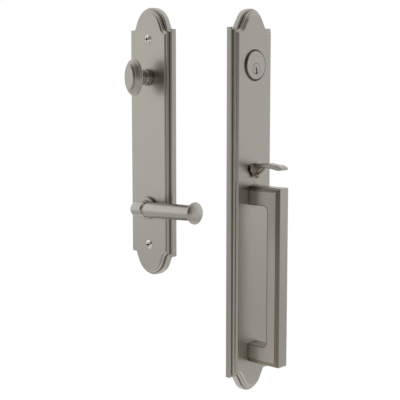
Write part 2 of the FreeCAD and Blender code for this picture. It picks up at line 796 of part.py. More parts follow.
def lever_collar():
    """Turned bush that carries the lever's hub."""
    depth = interior_depth
    top = depth + lever_collar_height
    collar = round_bar(lever_collar_radius, depth, top, 0, lever_height)
    collar = collar.makeFillet(1.6, edges_at_depth(collar, top))
    sleeve = round_bar(lever_sleeve_radius(), recess_depth, depth + 1, 0, lever_height)
    bore = round_bar(lever_hub_radius + running_clearance, recess_depth - 1, top + 1, 0, lever_height)
    return join(collar, sleeve).cut(bore)


def lever_profile():
    """Half section of the turned lever: domed butt, groove, shank, flare and rounded, domed end."""
    def at(x, radius):
        return Vector(x, 0, radius)

    def arc(first, middle, last):
        return Part.Arc(at(*first), at(*middle), at(*last)).toShape()

    def line(first, last):
        return Part.makeLine(at(*first), at(*last))

    bend = math.sqrt(0.5)
    dome_base = flare_radius - rim_round
    dome_radius = (dome_base ** 2 + dome_rise ** 2) / (2 * dome_rise)
    half_angle = math.asin(dome_base / dome_radius) / 2
    dome_start = flare_rim + rim_round
    tip = dome_start + dome_rise
    dome_middle = (tip - dome_radius * (1 - math.cos(half_angle)), dome_radius * math.sin(half_angle))
    round_middle = (flare_rim + rim_round * bend, dome_base + rim_round * bend)
    return [
        arc((-barrel_radius, 0), (-barrel_radius * bend, barrel_radius * bend), (0, barrel_radius)),
        line((0, barrel_radius), (barrel_end - 0.9, barrel_radius)),
        line((barrel_end - 0.9, barrel_radius), (barrel_end, barrel_radius - 0.9)),
        line((barrel_end, barrel_radius - 0.9), (barrel_end, groove_radius)),
        line((barrel_end, groove_radius), (shank_start, groove_radius)),
        line((shank_start, groove_radius), (shank_start + 0.9, shank_start_radius)),
        line((shank_start + 0.9, shank_start_radius), (shank_end, shank_end_radius)),
        line((shank_end, shank_end_radius), (flare_rim, flare_radius)),
        arc((flare_rim, flare_radius), round_middle, (dome_start, dome_base)),
        arc((dome_start, dome_base), dome_middle, (tip, 0)),
        line((tip, 0), (-barrel_radius, 0)),
    ]


def lever_handle():
    """The lever: a turned bar along X on a round hub that passes through the collar."""
    depth = interior_depth
    z = lever_height
    axis_depth = depth + lever_axis_out
    bar = Part.Face(Part.Wire(lever_profile())).revolve(Vector(0, 0, 0), Vector(1, 0, 0), 360)
    bar.translate(Vector(0, -axis_depth, z))
    collar_top = depth + lever_collar_height + loose_clearance
    hub = round_bar(lever_hub_radius, recess_depth - 1.8, axis_depth, 0, z)
    flange = round_bar(lever_hub_radius + 1.2, collar_top, collar_top + 1.6, 0, z)
    groove = ring(lever_hub_radius + 1, lever_hub_radius - 0.8, recess_depth - 1.25, recess_depth - 0.35, 0, z)
    half = spindle_size / 2 + 0.1
    socket = block(-half, half, recess_depth - 3, axis_depth - 0.7, z - half, z + half)
    screw_hole = Part.makeCylinder(set_screw_radius + 0.05, barrel_radius + 2,
                                   Vector(0, -axis_depth + 4.0, z - barrel_radius - 2), Vector(0, 0, 1))
    return join(bar, hub, flange).cut([groove, socket, screw_hole])


def lever_spindle():
    """Square bar that the lever turns, reaching back into the door."""
    half = spindle_size / 2
    top = interior_depth + lever_axis_out - 1.0
    bar = block(-half, half, -spindle_reach, top, lever_height - half, lever_height + half)
    along = [edge for edge in bar.Edges if edge.BoundBox.YLength > spindle_size]
    return bar.makeChamfer(0.5, along)


def lever_set_screw():
    """Socket set screw that locks the lever on its spindle from below."""
    low = lever_height - lever_hub_radius + 0.5
    high = lever_height - spindle_size / 2
    depth = interior_depth + lever_axis_out - 4.0
    screw = Part.makeCylinder(set_screw_radius, high - low, Vector(0, -depth, low), Vector(0, 0, 1))
    corners = [Vector(1.3 * math.cos(math.radians(60 * n)), -depth + 1.3 * math.sin(math.radians(60 * n)), low)
               for n in range(6)]
    hexagon = Part.Face(Part.makePolygon(corners + [corners[0]]))
    return screw.cut(hexagon.extrude(Vector(0, 0, 1.5)))


# Lever return spring in its cage

def cage_screw_places():
    """One cage screw on each side of the spindle."""
    return [(side * cage_screw_offset, lever_height) for side in (-1, 1)]


def spring_cage():
    """Round steel cup behind the plate, with bosses for its two screws."""
    z = lever_height
    cup = round_bar(cage_radius, -cage_tail, recess_depth, 0, z)
    hollow = round_bar(cage_radius - cage_wall, -cage_tail - 1, recess_depth - 1.0, 0, z)
    window = round_bar(lever_hub_radius + 3.0, recess_depth - 2, recess_depth + 1, 0, z)
    bosses = [round_bar(cage_boss_radius, -cage_tail, recess_depth, x, y) for x, y in cage_screw_places()]
    holes = blind_holes(small_screw_radius + screw_clearance, cage_screw_places(), -cage_tail - 1, recess_depth + 1)
    return join(cup.cut([hollow, window]), *bosses).cut(holes)


def spring_driver():
    """Hub on the square spindle that winds the return spring."""
    z = lever_height
    half = spindle_size / 2 + 0.05
    hub = round_bar(driver_radius, -cage_tail + 0.4, recess_depth - 2.2, 0, z)
    square = block(-half, half, -cage_tail - 1, recess_depth, z - half, z + half)
    slot = block(-0.5, 0.5, -cage_tail - 1, recess_depth, z + spindle_size / 2 + 1.2, z + driver_radius + 1)
    return hub.cut([square, slot])


def lever_return_spring():
    """Flat spiral spring, drawn as half turns that grow outwards."""
    z = lever_height
    start = -cage_tail + 0.8
    end = recess_depth - 2.6
    pieces = []
    shift = spring_pitch / 2
    for n in range(2 * spring_turns):
        radius = spring_inner + spring_wire / 2 + shift * n
        side = 1 if n % 2 == 0 else -1
        centre_x = 0.0 if n % 2 == 0 else -shift
        outer_bar = round_bar(radius + spring_wire / 2, start, end, centre_x, z)
        inner_bar = round_bar(radius - spring_wire / 2, start - 1, end + 1, centre_x, z)
        wide = 2 * cage_radius
        half_space = block(-wide, wide, start - 1, end + 1, z, z + wide)
        if side < 0:
            half_space = block(-wide, wide, start - 1, end + 1, z - wide, z)
        pieces.append(outer_bar.cut(inner_bar).common(half_space))
    return join(*pieces)


def spring_cage_cover():
    """Flat cover that closes the cage."""
    z = lever_height
    start = -cage_tail - cover_thickness
    disc = ring(cage_radius, spindle_size / 2 * math.sqrt(2) + 0.8, start, -cage_tail, 0, z)
    return disc.cut(blind_holes(small_screw_radius + screw_clearance, cage_screw_places(), start - 1, 0))


def cage_screws():
    """The two screws through cover and cage into the plate."""
    seat = -cage_tail - cover_thickness
    return Part.makeCompound([
        pan_screw(small_screw_radius, small_head_radius, small_head_height, seat, interior_depth - 2.0, x, z)
        for x, z in cage_screw_places()])


def exterior_nodes():
    """Every piece of the exterior trim, by name."""
    clip_start = -housing_tail - 0.95
    return {
        "exterior_plate": exterior_plate(),
        "cylinder_trim_ring": cylinder_trim_ring(),
        "cylinder_housing": cylinder_housing(),
        "cylinder_ring_nut": cylinder_ring_nut(),
        "key_plug": key_plug(),
        "key_pins": upright_pins(pin_height(0), pin_height(1)),
        "driver_pins": upright_pins(pin_height(2), pin_height(3)),
        "pin_springs": pin_springs(),
        "plug_clip": split_ring(plug_radius + 2.0, plug_radius - 0.65, clip_start, clip_start + 0.7, plug_height, 5.0),
        "cylinder_tailpiece": cylinder_tailpiece(),
        "thumbpiece": thumbpiece(),
        "thumbpiece_pin": thumbpiece_pin(),
        "thumbpiece_bracket": thumbpiece_bracket(),
        "bracket_screws": bracket_screws(),
        "lift_slide": lift_slide(),
        "lift_slide_spring": lift_slide_spring(),
        "pull_grip": pull_grip(),
        "grip_screws": grip_screws(),
        "mounting_posts": mounting_posts(),
    }


def interior_nodes():
    """Every piece of the interior trim, by name, still facing -Y."""
    turn_clip_end = recess_depth - 0.65
    lever_clip_end = recess_depth - 0.45
    return {
        "interior_plate": interior_plate(),
        "plate_screws": plate_screws(),
        "thumbturn_collar": turn_collar(),
        "thumbturn_knob": thumbturn_knob(),
        "thumbturn_spindle": turn_spindle(),
        "thumbturn_clip": split_ring(turn_stem_radius + 2.6, turn_stem_radius - 0.65,
                                     turn_clip_end - 0.7, turn_clip_end, turn_height, 4.0),
        "thumbturn_washer": ring(turn_stem_radius + 2.2, turn_stem_radius + 0.15,
                                 recess_depth - 0.45, recess_depth - 0.05, 0, turn_height),
        "lever_collar": lever_collar(),
        "lever_handle": lever_handle(),
        "lever_spindle": lever_spindle(),
        "lever_set_screw": lever_set_screw(),
        "lever_clip": split_ring(lever_hub_radius + 2.4, lever_hub_radius - 0.75,
                                 lever_clip_end - 0.7, lever_clip_end, lever_height, 6.0),
        "spring_cage": spring_cage(),
        "spring_driver": spring_driver(),
        "lever_return_spring": lever_return_spring(),
        "spring_cage_cover": spring_cage_cover(),
        "cage_screws": cage_screws(),
    }


def tilt_lever(nodes):
    """Raise the lever and all that turns with it by the small angle at which it rests."""
    axis_point = Vector(0, 0, lever_height)
    for node in ("lever_handle", "lever_spindle", "lever_set_screw", "lever_clip", "spring_driver"):
        nodes[node].rotate(axis_point, Vector(0, -1, 0), lever_rest_tilt)


def main():
    os.makedirs("parts", exist_ok=True)
    for node, shape in exterior_nodes().items():
        shape.translate(Vector(0, 0, -origin_height))
        save(node, shape)
    interior = interior_nodes()
    tilt_lever(interior)
    for node, shape in interior.items():
        shape.rotate(Vector(0, 0, 0), Vector(0, 0, 1), -90)
        shape.translate(Vector(interior_x, interior_y, interior_z))
        save(node, shape)


main()
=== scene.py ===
import math

import bpy
from mathutils import Matrix, Vector


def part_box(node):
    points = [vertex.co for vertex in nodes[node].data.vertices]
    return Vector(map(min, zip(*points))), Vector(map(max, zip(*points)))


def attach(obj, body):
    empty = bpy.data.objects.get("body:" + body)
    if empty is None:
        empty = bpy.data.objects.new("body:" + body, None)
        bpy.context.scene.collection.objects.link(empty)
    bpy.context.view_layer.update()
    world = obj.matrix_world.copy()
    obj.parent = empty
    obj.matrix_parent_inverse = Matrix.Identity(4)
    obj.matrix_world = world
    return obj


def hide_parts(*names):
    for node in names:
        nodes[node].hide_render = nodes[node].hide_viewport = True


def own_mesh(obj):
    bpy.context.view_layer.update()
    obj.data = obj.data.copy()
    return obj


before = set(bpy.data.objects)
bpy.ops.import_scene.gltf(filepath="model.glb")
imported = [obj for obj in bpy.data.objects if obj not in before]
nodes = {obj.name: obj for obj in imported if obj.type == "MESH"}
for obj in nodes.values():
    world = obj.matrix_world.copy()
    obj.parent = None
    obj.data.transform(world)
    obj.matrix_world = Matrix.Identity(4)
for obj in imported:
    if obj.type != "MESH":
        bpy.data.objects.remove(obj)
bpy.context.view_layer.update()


# The studio: a camera a little above the pair, a soft lamp on each side, one above and a pale floor.
# The room is white behind the pair and dim behind the camera, as round a photographer's tent.
# The camera stands where the photograph was taken from, level across and tipped down.
CAMERA_PLACE = (-0.8874, -0.7675, 0.05895)
CAMERA_TURN = (math.radians(82.92), 0.0, math.radians(-46.5))
CAMERA_HEADING = (0.7254, 0.6884, 0.0)
CAMERA_LENS = 90.7
SIDE_LAMP_SIZE = (2.6, 3.2)
TOP_LAMP_SIZE = (1.6, 1.6)
COOL_WHITE = (0.9, 0.98, 1.06)
PURE_WHITE = (1.0, 1.0, 1.0, 1.0)
ROOM_STRENGTH = 0.9
ROOM_TONES = (
    (0.18, (0.11, 0.098, 0.08)), (0.46, (0.44, 0.425, 0.4)),
    (0.56, (0.56, 0.58, 0.6)), (0.72, (0.9, 0.945, 0.96)),
)
FLOOR_SIZE = 8.0
FLOOR_LEVEL = -0.42
FLOOR_GREY = (0.8, 0.8, 0.8, 1.0)
FLOOR_GLOW = 1.08
FLOOR_GLOW_SHARE = 0.9
FLOOR_TONES = ((0.06, 1.0), (0.11, 0.38), (0.35, 0.38), (0.56, 0.82))

scene = bpy.context.scene
scene.view_settings.view_transform = "Standard"

camera_data = bpy.data.cameras.new("studio_camera")
camera_data.sensor_width = 36.0
camera_data.lens = CAMERA_LENS
camera_data.clip_start = 0.05
camera_data.clip_end = 50.0
camera = bpy.data.objects.new("studio_camera", camera_data)
scene.collection.objects.link(camera)
camera.location = CAMERA_PLACE
camera.rotation_euler = CAMERA_TURN
scene.camera = camera


def soft_box(name, place, target, size, power, colour=(1.0, 1.0, 1.0)):
    """A rectangular studio lamp that points at a place on the pair."""
    lamp = bpy.data.lights.new(name, "AREA")
    lamp.shape = "RECTANGLE"
    lamp.size, lamp.size_y = size
    lamp.energy = power
    lamp.color = colour
    lamp_object = bpy.data.objects.new(name, lamp)
    scene.collection.objects.link(lamp_object)
    lamp_object.location = place
    aim = Vector(target) - Vector(place)
    lamp_object.rotation_euler = aim.to_track_quat("-Z", "Y").to_euler()


soft_box("left_box", (-2.3, 1.9, 0.5), (-0.1, 0.0, 0.0), SIDE_LAMP_SIZE, power=6.9)
soft_box("right_box", (1.9, -2.3, 0.5), (0.0, 0.0, -0.05), SIDE_LAMP_SIZE, power=1.5, colour=COOL_WHITE)
soft_box("top_box", (-0.2, -0.2, 1.6), (-0.05, 0.0, 0.0), TOP_LAMP_SIZE, power=2.0)


def add_node(tree, kind, operation=None, values=None):
    """A new shader node with its operation and the values of its inputs, by their name or number."""
    node = tree.nodes.new(kind)
    if operation:
        node.operation = operation
    for socket, value in (values or {}).items():
        node.inputs[socket].default_value = value
    return node


def wire(tree, *links):
    """Link nodes, each link as the node it leaves, its output, the node it goes to and its input."""
    for source, output, target, socket in links:
        tree.links.new(source.outputs[output], target.inputs[socket])


def set_stops(ramp, stops):
    """Give a colour ramp its stops, each as its position and its colour."""
    first, *between, last = stops
    elements = ramp.color_ramp.elements
    for element, (position, colour) in ((elements[0], first), (elements[1], last)):
        element.position = position
        element.color = (*colour, 1.0)
    for position, colour in between:
        elements.new(position).color = (*colour, 1.0)


world = bpy.data.worlds.new("studio_room")
scene.world = world
world.use_nodes = True
room = world.node_tree
room.nodes.clear()
room_out = add_node(room, "ShaderNodeOutputWorld")
room_light = add_node(room, "ShaderNodeBackground", values={"Strength": ROOM_STRENGTH})
room_white = add_node(room, "ShaderNodeBackground", values={"Color": PURE_WHITE, "Strength": 1.0})
room_mix = add_node(room, "ShaderNodeMixShader")
room_path = add_node(room, "ShaderNodeLightPath")
room_seen = add_node(room, "ShaderNodeMath", "MAXIMUM")
room_mirrored = add_node(room, "ShaderNodeMath", "MULTIPLY")
room_either = add_node(room, "ShaderNodeMath", "MAXIMUM")
room_place = add_node(room, "ShaderNodeTexCoord")
room_facing = add_node(room, "ShaderNodeVectorMath", "DOT_PRODUCT", {1: CAMERA_HEADING})
room_shift = add_node(room, "ShaderNodeMapRange", values={"From Min": -1.0, "From Max": 1.0})
room_ramp = add_node(room, "ShaderNodeValToRGB")
set_stops(room_ramp, ROOM_TONES)
wire(
    room,
    (room_place, "Generated", room_facing, 0),
    (room_facing, "Value", room_shift, "Value"),
    (room_shift, "Result", room_ramp, "Fac"),
    (room_ramp, "Color", room_light, "Color"),
    (room_path, "Is Camera Ray", room_seen, 0),
    (room_path, "Is Transmission Ray", room_seen, 1),
    (room_path, "Is Glossy Ray", room_mirrored, 0),
    (room_ramp, "Color", room_mirrored, 1),
    (room_seen, "Value", room_either, 0),
    (room_mirrored, "Value", room_either, 1),
    (room_either, "Value", room_mix, "Fac"),
    (room_light, "Background", room_mix, 1),
    (room_white, "Background", room_mix, 2),
    (room_mix, "Shader", room_out, "Surface"),
)

bpy.ops.mesh.primitive_plane_add(size=FLOOR_SIZE, location=(0.0, 0.0, FLOOR_LEVEL))
floor = bpy.context.active_object
floor.name = "studio_floor"
floor_paint = bpy.data.materials.new("pale_floor")
floor_paint.use_nodes = True
floor_tree = floor_paint.node_tree
floor_tree.nodes.clear()
floor_out = add_node(floor_tree, "ShaderNodeOutputMaterial")
floor_matte = add_node(floor_tree, "ShaderNodeBsdfDiffuse", values={"Color": FLOOR_GREY})
floor_white = add_node(floor_tree, "ShaderNodeEmission", values={"Strength": FLOOR_GLOW})
floor_mix = add_node(floor_tree, "ShaderNodeMixShader")
floor_path = add_node(floor_tree, "ShaderNodeLightPath")
floor_seen = add_node(floor_tree, "ShaderNodeMath", "MAXIMUM")
floor_any = add_node(floor_tree, "ShaderNodeMath", "MAXIMUM")
floor_share = add_node(floor_tree, "ShaderNodeMath", "MULTIPLY", {1: FLOOR_GLOW_SHARE})
floor_mirrored = add_node(floor_tree, "ShaderNodeMath", "MULTIPLY")
floor_place = add_node(floor_tree, "ShaderNodeTexCoord")
floor_distance = add_node(floor_tree, "ShaderNodeVectorMath", "LENGTH")
floor_reach = add_node(floor_tree, "ShaderNodeMapRange", values={"From Max": FLOOR_SIZE / 2})
floor_ramp = add_node(floor_tree, "ShaderNodeValToRGB")
set_stops(floor_ramp, [(position, (tone, tone, tone)) for position, tone in FLOOR_TONES])
wire(
    floor_tree,
    (floor_place, "Object", floor_distance, 0),
    (floor_distance, "Value", floor_reach, "Value"),
    (floor_reach, "Result", floor_ramp, "Fac"),
    (floor_ramp, "Color", floor_mirrored, 1),
    (floor_path, "Is Glossy Ray", floor_mirrored, 0),
    (floor_path, "Is Camera Ray", floor_seen, 0),
    (floor_mirrored, "Value", floor_seen, 1),
    (floor_seen, "Value", floor_any, 0),
    (floor_path, "Is Transmission Ray", floor_any, 1),
    (floor_any, "Value", floor_share, 0),
    (floor_share, "Value", floor_mix, "Fac"),
    (floor_matte, "BSDF", floor_mix, 1),
    (floor_white, "Emission", floor_mix, 2),
    (floor_mix, "Shader", floor_out, "Surface"),
)
floor.data.materials.append(floor_paint)


# The exterior plate: cast zinc, polished by hand along its moulding and plated in satin nickel.
# Its edges are softened by the polishing, and a very fine grain runs up and down the plate.
# It is screwed to the door through the two posts on its back.
WELD_DISTANCE = 0.000004
FLAT_ANGLE = math.radians(0.3)
PLATE_EDGE_ROUND = 0.00022
PLATE_SIDE_DEPTH = 0.0004
PLATE_SIDE_SHADE = 0.18
NICKEL_TONE = (0.6, 0.58, 0.54, 1.0)
LINE_STRETCH = (1.0, 1.0, 0.04)
LINE_HEIGHT = 0.00002
PEEL_SHARE = 0.4
# Painted shade: the metals are darkened towards a brown tint in inner corners, close to other parts and
# on marked faces.
CORNER_REACH = 0.0022
CORNER_TONE = 0.75
CONTACT_REACH = 0.014
CONTACT_TONE = 0.35
SHADE_SAMPLES = 12
BROWN_SHADE_TINT = (0.22, 0.15, 0.05, 1.0)


def deselect_all():
    """Leave nothing selected, so that the next operator acts on its own piece."""
    for other in bpy.context.selected_objects:
        other.select_set(False)


def frame_faces(piece, width, covers):
    """Set in the flat faces that a test picks out, so that a strip of this width runs round each."""
    bpy.ops.object.mode_set(mode="EDIT")
    bpy.ops.mesh.select_mode(type="FACE")
    bpy.ops.mesh.select_all(action="DESELECT")
    bpy.ops.object.mode_set(mode="OBJECT")
    for polygon in piece.data.polygons:
        polygon.select = covers(polygon.center)
    bpy.ops.object.mode_set(mode="EDIT")
    bpy.ops.mesh.inset(thickness=width, depth=0.0, use_even_offset=True)
    bpy.ops.mesh.select_mode(type="VERT")
    bpy.ops.object.mode_set(mode="OBJECT")


def soft_copy(node, name, bevel, segments=2, angle=28.0, smooth=40.0, reshape=None, framed=None):
    """A copy of a CAD node as one welded skin, its crisp edges rounded as polishing leaves them."""
    deselect_all()
    source = nodes[node]
    piece = source.copy()
    piece.data = source.data.copy()
    piece.name = name
    piece.parent = None
    piece.matrix_world = Matrix.Identity(4)
    for key in list(piece.keys()):
        del piece[key]
    scene.collection.objects.link(piece)
    bpy.context.view_layer.objects.active = piece
    piece.select_set(True)
    bpy.ops.mesh.customdata_custom_splitnormals_clear()
    bpy.ops.object.mode_set(mode="EDIT")
    bpy.ops.mesh.select_all(action="SELECT")
    bpy.ops.mesh.remove_doubles(threshold=WELD_DISTANCE)
    bpy.ops.object.mode_set(mode="OBJECT")
    if reshape:
        for vertex in piece.data.vertices:
            vertex.co = reshape(vertex.co)
    bpy.ops.object.mode_set(mode="EDIT")
    bpy.ops.mesh.select_all(action="SELECT")
    bpy.ops.mesh.dissolve_limited(angle_limit=FLAT_ANGLE)
    bpy.ops.object.mode_set(mode="OBJECT")
    if framed:
        frame_faces(piece, *framed)
    if bevel:
        edge = piece.modifiers.new("polished_edge", "BEVEL")
        edge.width = bevel
        edge.segments = segments
        edge.limit_method = "ANGLE"
        edge.angle_limit = math.radians(angle)
        edge.use_clamp_overlap = True
        edge.harden_normals = False
        edge.miter_outer = "MITER_ARC"
        bpy.ops.object.modifier_apply(modifier="polished_edge")
    bpy.ops.object.shade_smooth_by_angle(angle=math.radians(smooth))
    flats = piece.modifiers.new("flat_faces", "WEIGHTED_NORMAL")
    flats.weight = 100
    flats.keep_sharp = True
    bpy.ops.object.modifier_apply(modifier="flat_faces")
    return piece


def metal_grain_group():
    """Plated metal's finish: fine lines of polishing, cloudy dulling and a faint orange peel."""
    group = bpy.data.node_groups.new("metal_grain", "ShaderNodeTree")
    for name, kind, value in (
        ("Roughness", "NodeSocketFloat", 0.34),
        ("Roughness Change", "NodeSocketFloat", 0.05),
        ("Line Depth", "NodeSocketFloat", 0.05),
        ("Tone Change", "NodeSocketFloat", 0.04),
        ("Base", "NodeSocketColor", NICKEL_TONE),
    ):
        socket = group.interface.new_socket(name, in_out="INPUT", socket_type=kind)
        socket.default_value = value
    for name, kind in (
        ("Color", "NodeSocketColor"), ("Roughness", "NodeSocketFloat"), ("Normal", "NodeSocketVector"),
    ):
        group.interface.new_socket(name, in_out="OUTPUT", socket_type=kind)
    inside = add_node(group, "NodeGroupInput")
    outside = add_node(group, "NodeGroupOutput")
    place = add_node(group, "ShaderNodeTexCoord")
    stretch = add_node(group, "ShaderNodeMapping", values={"Scale": LINE_STRETCH})
    line_values = {"Scale": 900.0, "Detail": 3.0, "Roughness": 0.6}
    lines = add_node(group, "ShaderNodeTexNoise", values=line_values)
    clouds = add_node(group, "ShaderNodeTexNoise", values={"Scale": 22.0, "Detail": 4.0})
    peel = add_node(group, "ShaderNodeTexNoise", values={"Scale": 380.0, "Detail": 2.0})
    wire(
        group,
        (place, "Object", stretch, "Vector"),
        (stretch, "Vector", lines, "Vector"),
        (place, "Object", clouds, "Vector"),
        (place, "Object", peel, "Vector"),
    )

    centred = add_node(group, "ShaderNodeMath", "SUBTRACT", {1: 0.5})
    swing = add_node(group, "ShaderNodeMath", "MULTIPLY")
    rough = add_node(group, "ShaderNodeMath", "MULTIPLY_ADD", {1: 2.0})
    wire(
        group,
        (clouds, "Fac", centred, 0),
        (centred, "Value", swing, 0),
        (inside, "Roughness Change", swing, 1),
        (swing, "Value", rough, 0),
        (inside, "Roughness", rough, 2),
        (rough, "Value", outside, "Roughness"),
    )

    fine = add_node(group, "ShaderNodeMath", "SUBTRACT", {1: 0.5})
    together = add_node(group, "ShaderNodeMath", "ADD")
    tone = add_node(group, "ShaderNodeMath", "MULTIPLY_ADD", {2: 1.0})
    shade = add_node(group, "ShaderNodeVectorMath", "SCALE")
    wire(
        group,
        (lines, "Fac", fine, 0),
        (fine, "Value", together, 0),
        (centred, "Value", together, 1),
        (together, "Value", tone, 0),
        (inside, "Tone Change", tone, 1),
        (inside, "Base", shade, 0),
        (tone, "Value", shade, "Scale"),
        (shade, "Vector", outside, "Color"),
    )

    height = add_node(group, "ShaderNodeMath", "MULTIPLY_ADD", {1: PEEL_SHARE})
    bump = add_node(group, "ShaderNodeBump", values={"Distance": LINE_HEIGHT})
    wire(
        group,
        (peel, "Fac", height, 0),
        (lines, "Fac", height, 2),
        (inside, "Line Depth", bump, "Strength"),
        (height, "Value", bump, "Height"),
        (bump, "Normal", outside, "Normal"),
    )
    return group


metal_grain = metal_grain_group()


def plated(name, base, roughness, change=0.05, depth=0.25, tone=0.05):
    """A plated or bare metal with its own tone, dulling and grain, and painted shade in inner corners,
    near other parts and on marked faces.
    """
    material = bpy.data.materials.new(name)
    material.use_nodes = True
    tree = material.node_tree
    shader = tree.nodes["Principled BSDF"]
    shader.inputs["Metallic"].default_value = 1.0
    grain = tree.nodes.new("ShaderNodeGroup")
    grain.node_tree = metal_grain
    for socket, value in (
        ("Base", (*base, 1.0)), ("Roughness", roughness), ("Roughness Change", change),
        ("Line Depth", depth), ("Tone Change", tone),
    ):
        grain.inputs[socket].default_value = value
    # Painted shade: ambient occlusion darkens the colour in inner corners and near other parts.
    corner = add_node(tree, "ShaderNodeAmbientOcclusion", values={"Distance": CORNER_REACH})
    corner.samples = SHADE_SAMPLES
    corner_map = {"From Min": 0.45, "From Max": 0.92, "To Min": CORNER_TONE, "To Max": 1.0}
    crevice = add_node(tree, "ShaderNodeMapRange", values=corner_map)
    near = add_node(tree, "ShaderNodeAmbientOcclusion", values={"Distance": CONTACT_REACH})
    near.samples = SHADE_SAMPLES
    near_map = {"From Min": 0.2, "From Max": 0.72, "To Min": CONTACT_TONE, "To Max": 1.0}
    contact = add_node(tree, "ShaderNodeMapRange", values=near_map)
    shaded = add_node(tree, "ShaderNodeMath", "MULTIPLY")
    # Marked faces get more painted shade, or less where the mark is negative, all of it tinted towards
    # brown.
    worn = add_node(tree, "ShaderNodeAttribute")
    worn.attribute_name = "painted_light"
    unshaded_share = add_node(tree, "ShaderNodeMath", "SUBTRACT", {0: 1.0})
    both = add_node(tree, "ShaderNodeMath", "MULTIPLY")
    shade_tint = add_node(tree, "ShaderNodeMixRGB", values={"Color1": BROWN_SHADE_TINT, "Color2": PURE_WHITE})
    shaded_colour = add_node(tree, "ShaderNodeVectorMath", "MULTIPLY")
    wire(
        tree,
        (corner, "AO", crevice, "Value"),
        (near, "AO", contact, "Value"),
        (crevice, "Result", shaded, 0),
        (contact, "Result", shaded, 1),
        (worn, "Fac", unshaded_share, 1),
        (shaded, "Value", both, 0),
        (unshaded_share, "Value", both, 1),
        (both, "Value", shade_tint, "Fac"),
        (grain, "Color", shaded_colour, 0),
        (shade_tint, "Color", shaded_colour, 1),
        (shaded_colour, "Vector", shader, "Base Color"),
        (grain, "Roughness", shader, "Roughness"),
        (grain, "Normal", shader, "Normal"),
    )
    return material


def dress(piece, material, body, slot_name, *stands_for):
    """Give a piece its finish, fix it to its body and let it stand for its CAD nodes."""
    piece.data.materials.clear()
    piece.data.materials.append(material)
    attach(piece, body)
    if stands_for:
        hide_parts(*stands_for)


# Painted shade, set face by face.
def add_painted_light(piece, amount, covers):
    """Mark the faces whose middles a test picks out for painted shade, or with a negative amount for less
    of it.
    """
    layer = piece.data.attributes.get("painted_light")
    if layer is None:
        layer = piece.data.attributes.new("painted_light", "FLOAT", "CORNER")
    for polygon in piece.data.polygons:
        if covers(polygon.center):
            for loop in polygon.loop_indices:
                layer.data[loop].value = amount


exterior_low, exterior_high = (Vector(corner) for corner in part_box("exterior_plate"))


def on_plate_side(place):
    """Whether a place lies on the exterior plate's outermost sides, left or right."""
    return abs(place.x) > exterior_high.x - PLATE_SIDE_DEPTH


satin_nickel = plated("satin_nickel", (0.445, 0.424, 0.38), 0.34)
exterior_plate = soft_copy("exterior_plate", "exterior_plate_polished", PLATE_EDGE_ROUND)
# Painted shade on the plate's outermost sides.
add_painted_light(exterior_plate, PLATE_SIDE_SHADE, on_plate_side)
dress(exterior_plate, satin_nickel, "trims", "satin_nickel", "exterior_plate")


# The interior plate: the same casting, shorter and narrower, with countersunk screw holes.
# Polished and plated as its larger fellow is.
interior_plate = soft_copy("interior_plate", "interior_plate_polished", PLATE_EDGE_ROUND)
dress(interior_plate, satin_nickel, "trims", "satin_nickel", "interior_plate")


# The key cylinder: turned brass in the same satin nickel, with a thin ring behind its head painted near
# black as the shadow in the gap there.
# Its face is turned on a lathe, and a thin painted shadow line runs round the plug in it.
RING_EDGE_ROUND = 0.00015
HEAD_EDGE_ROUND = 0.0003
PLUG_LINE_START = 0.00005
PLUG_LINE_END = 0.002
PLUG_LINE_SHADE = 0.75

plug_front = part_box("key_plug")[0][1]


def behind_plug_face(place):
    """Whether a place lies on the plug's rim, just behind its front face."""
    return plug_front + PLUG_LINE_START < place.y < plug_front + PLUG_LINE_END


turned_nickel = plated("turned_nickel", (0.44, 0.42, 0.378), 0.3, depth=0.2)
# The trim ring's near-black nickel is painted shadow, for the shade in the gap round the head.
gap_shadow_nickel = plated("gap_shadow_nickel", (0.1, 0.092, 0.074), 0.42, depth=0.2)
cylinder_ring = soft_copy("cylinder_trim_ring", "trim_ring_polished", RING_EDGE_ROUND)
dress(cylinder_ring, gap_shadow_nickel, "trims", "satin_nickel", "cylinder_trim_ring")
cylinder_head = soft_copy("cylinder_housing", "cylinder_head_polished", HEAD_EDGE_ROUND)
dress(cylinder_head, turned_nickel, "trims", "plated_brass", "cylinder_housing")
plug = soft_copy("key_plug", "key_plug_polished", 0.0)
# A thin painted shadow line on the plug's rim, for the gap round the plug.
add_painted_light(plug, PLUG_LINE_SHADE, behind_plug_face)
dress(plug, turned_nickel, "plug", "plated_brass", "key_plug")


# The thumbpiece: one zinc casting with a tongue for the thumb, a shield over its slot and a tail.
# It is tumbled before plating, so every edge of it is round, and the strut under its arm is solid.
THUMB_AXIS_Z = -0.04615
TONGUE_ROOT = -0.0130
TONGUE_TIP = -0.0567
TONGUE_FLOOR = -0.004
ARCH_START = 0.02
ARCH_FADE_ALONG = 0.1
ARCH_FADE_FOOT = -0.001
ARCH_FADE_HEIGHT = 0.003
ARCH_HEIGHT = 0.0018
ARCH_MIDDLE = 0.42
ARCH_SPREAD = 0.3
TIP_START = 0.68
TIP_RUN = 0.2
TIP_DROP = 0.0003
SLOT_HALF_WIDTH = 0.0045
SLOT_FOOT = -0.0545
PRESS_ANGLE = math.radians(12.0)
PLATE_GAP = 0.00012
PLATE_FRONT = exterior_low.y - PLATE_GAP
HOLD_OFF_BAND = 0.002
STRUT_PLACE = (0.0, -0.0209, -0.0501)
STRUT_SIZE = (0.0052, 0.0088, 0.0036)
STRUT_TILT = math.radians(-30.0)
THUMB_SKIN = 0.00042
TUMBLE_PASSES = 6
ARM_FRONT = -0.029
ARM_TOP = THUMB_AXIS_Z + 0.0012
ARM_UNDERSIDE_SHADE = 0.4
SHIELD_FRONT = -0.0182
SHIELD_SHADE = 0.45


def between_zero_and_one(share):
    """A share kept from falling below nothing or rising above the whole."""
    return min(max(share, 0.0), 1.0)


